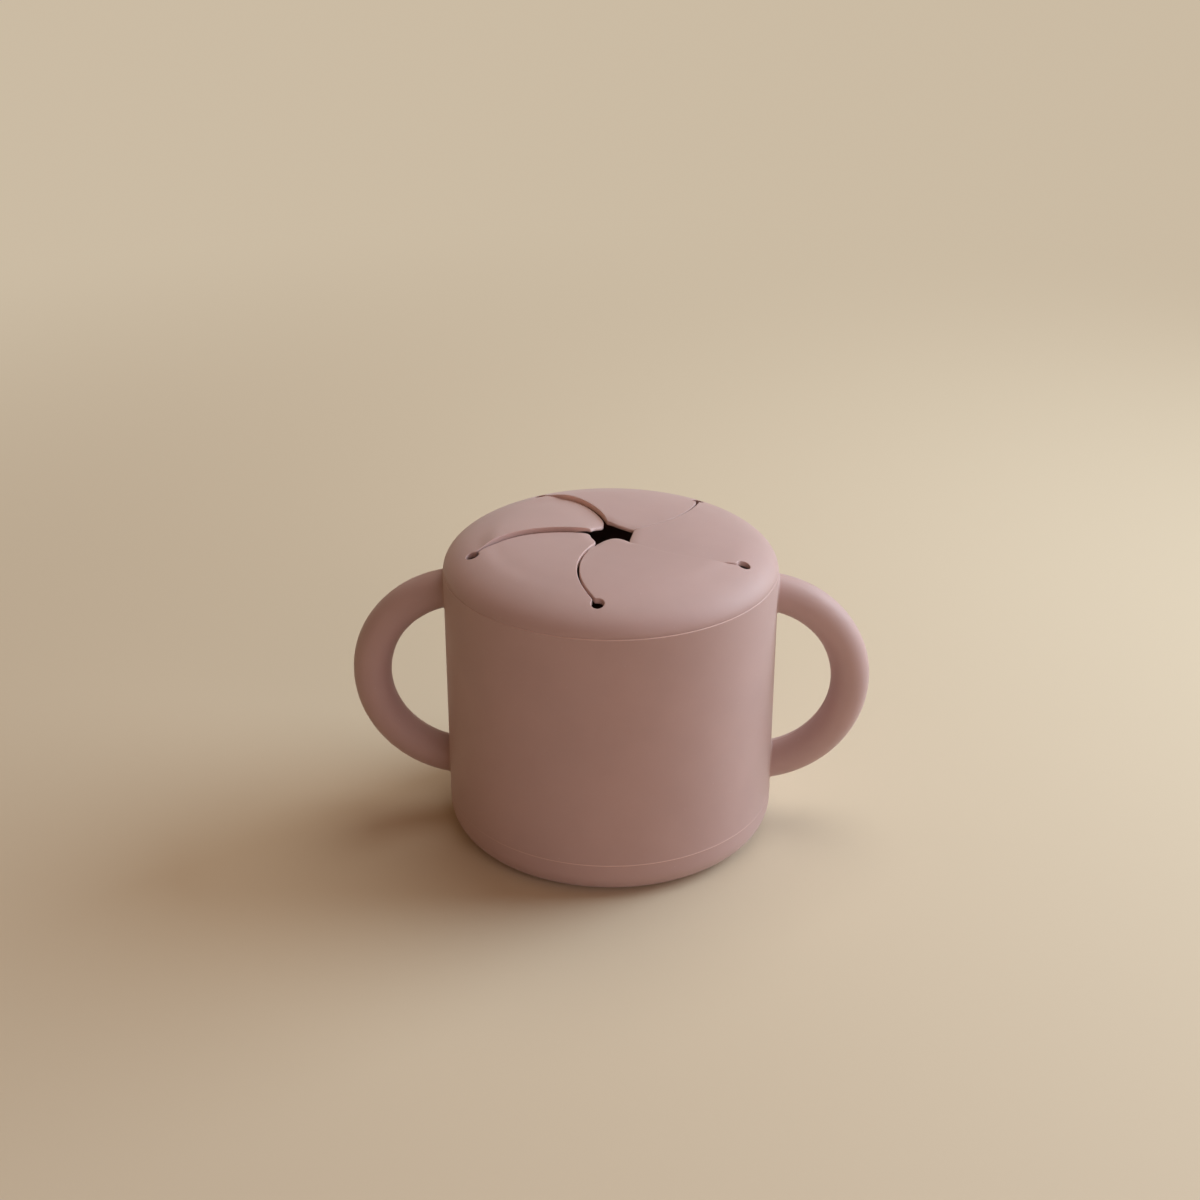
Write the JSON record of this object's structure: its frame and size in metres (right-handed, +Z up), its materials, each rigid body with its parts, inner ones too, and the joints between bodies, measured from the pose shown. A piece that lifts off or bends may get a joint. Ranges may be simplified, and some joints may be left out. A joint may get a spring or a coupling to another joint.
{
  "type": "toddler snack container",
  "caption": "Soft snack cup for a toddler with moulded loop handles and a press-fit domed lid, whose slit petals let a small hand in and hold the snacks back.",
  "frame": {"origin": "centre of the base, on the surface the cup stands on", "axes": "+Z up, handles along +X and -X, front towards -Y"},
  "size_m": [0.1296, 0.082, 0.0778],
  "materials": {
    "cup_silicone": "matte",
    "lid_silicone": "matte"
  },
  "bodies": {
    "cup": {"cup_body": "cup_silicone", "handle_left": "cup_silicone", "handle_right": "cup_silicone"},
    "lid": {"lid_ring": "lid_silicone"},
    "petal_1": {"petal_1": "lid_silicone"},
    "petal_2": {"petal_2": "lid_silicone"},
    "petal_3": {"petal_3": "lid_silicone"},
    "petal_4": {"petal_4": "lid_silicone"},
    "petal_5": {"petal_5": "lid_silicone"}
  },
  "joints": [
    {"name": "lid_lift", "type": "slide", "parent": "cup", "child": "lid", "axis": [0, 0, 1], "range_m": [0, 0.05]},
    {"name": "petal_1_bend", "type": "hinge", "parent": "lid", "child": "petal_1", "pos_m": [0.01511, -0.02308, 0.0753], "axis": [-0.8368, -0.5476, 0], "range_deg": [-55, 65], "stiffness_Nm_per_rad": 0.02},
    {"name": "petal_2_bend", "type": "hinge", "parent": "lid", "child": "petal_2", "pos_m": [0.02662, 0.00723, 0.0753], "axis": [0.2622, -0.965, 0], "range_deg": [-55, 65], "stiffness_Nm_per_rad": 0.02},
    {"name": "petal_3_bend", "type": "hinge", "parent": "lid", "child": "petal_3", "pos_m": [0.00135, 0.02755, 0.0753], "axis": [0.9988, -0.0489, 0], "range_deg": [-55, 65], "stiffness_Nm_per_rad": 0.02},
    {"name": "petal_4_bend", "type": "hinge", "parent": "lid", "child": "petal_4", "pos_m": [-0.02579, 0.0098, 0.0753], "axis": [0.3551, 0.9348, 0], "range_deg": [-55, 65], "stiffness_Nm_per_rad": 0.02},
    {"name": "petal_5_bend", "type": "hinge", "parent": "lid", "child": "petal_5", "pos_m": [-0.01729, -0.0215, 0.0753], "axis": [-0.7793, 0.6266, 0], "range_deg": [-55, 65], "stiffness_Nm_per_rad": 0.02}
  ]
}
